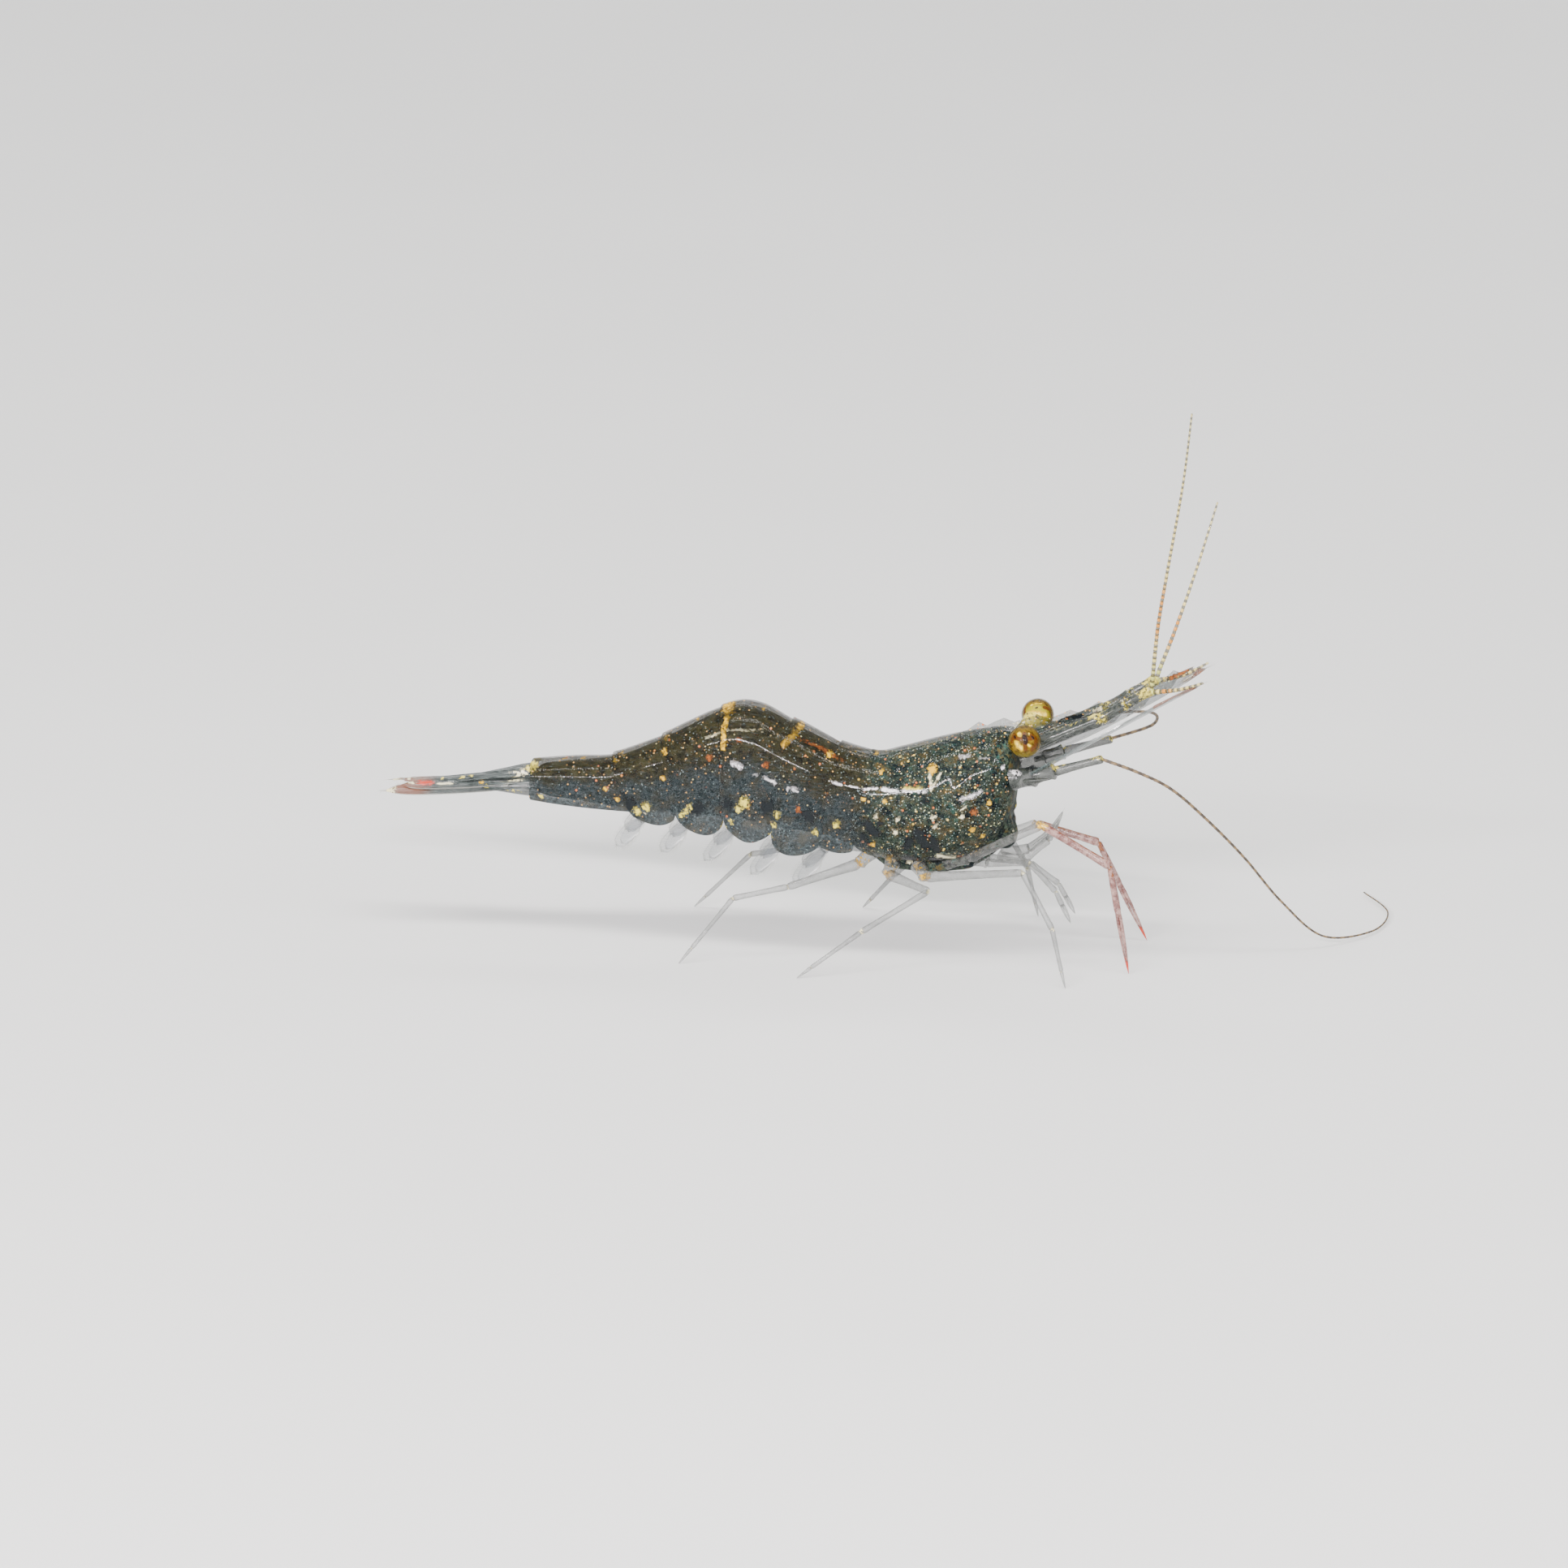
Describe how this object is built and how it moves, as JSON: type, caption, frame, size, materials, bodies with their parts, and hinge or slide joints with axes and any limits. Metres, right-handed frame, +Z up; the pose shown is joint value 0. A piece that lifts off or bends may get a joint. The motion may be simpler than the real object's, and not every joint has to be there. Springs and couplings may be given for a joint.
{
  "type": "glass shrimp",
  "caption": "Life-size still model of a small clear freshwater glass shrimp, walking on its slender legs and claw tips with its feelers raised.",
  "frame": {"origin": "on the ground, under the middle of the whole animal's bounding box", "axes": "+X towards the head, +Y to the animal's left, +Z up"},
  "size_m": [0.0456, 0.0166, 0.0272],
  "materials": {
    "shell": "glossy, clear grey-green",
    "flesh": "soft satin, dark teal-grey",
    "limb": "glossy, pale clear grey",
    "claw": "glossy, clear with red-brown",
    "eye": "polished gold-yellow",
    "feeler": "satin pale yellow",
    "dark_feeler": "satin dark brown",
    "fan": "glossy, clear pale grey"
  },
  "bodies": {
    "root": {"carapace": "shell", "abdomen_ring_1": "shell", "abdomen_ring_2": "shell", "abdomen_ring_3": "shell", "abdomen_ring_4": "shell", "abdomen_ring_5": "shell", "abdomen_ring_6": "shell", "thorax_underside": "flesh", "mouthparts": "flesh", "rostrum": "shell", "eye_right": "eye", "eyestalk_right": "flesh", "claw_leg_2_right": "claw", "walking_leg_3_right": "limb", "walking_leg_4_right": "limb", "walking_leg_5_right": "limb", "claw_leg_1_right": "limb", "mouth_leg_right": "limb", "antennule_base_right": "limb", "antennule_upright_whip_right": "feeler", "antennule_forward_whip_right": "feeler", "antenna_base_right": "limb", "antenna_scale_right": "fan", "antenna_whip_base_right": "dark_feeler", "antenna_whip_middle_right": "dark_feeler", "antenna_whip_tip_right": "dark_feeler", "eye_left": "eye", "eyestalk_left": "flesh", "claw_leg_2_left": "claw", "walking_leg_3_left": "limb", "walking_leg_4_left": "limb", "walking_leg_5_left": "limb", "claw_leg_1_left": "limb", "mouth_leg_left": "limb", "antennule_base_left": "limb", "antennule_upright_whip_left": "feeler", "antennule_forward_whip_left": "feeler", "antenna_base_left": "limb", "antenna_scale_left": "fan", "antenna_whip_base_left": "dark_feeler", "antenna_whip_middle_left": "dark_feeler", "antenna_whip_tip_left": "dark_feeler", "telson": "fan", "tail_inner_blade_right": "fan", "tail_outer_blade_right": "fan", "swimmeret_1_right": "fan", "swimmeret_2_right": "fan", "swimmeret_3_right": "fan", "swimmeret_4_right": "fan", "swimmeret_5_right": "fan", "tail_inner_blade_left": "fan", "tail_outer_blade_left": "fan", "swimmeret_1_left": "fan", "swimmeret_2_left": "fan", "swimmeret_3_left": "fan", "swimmeret_4_left": "fan", "swimmeret_5_left": "fan"}
  },
  "joints": []
}
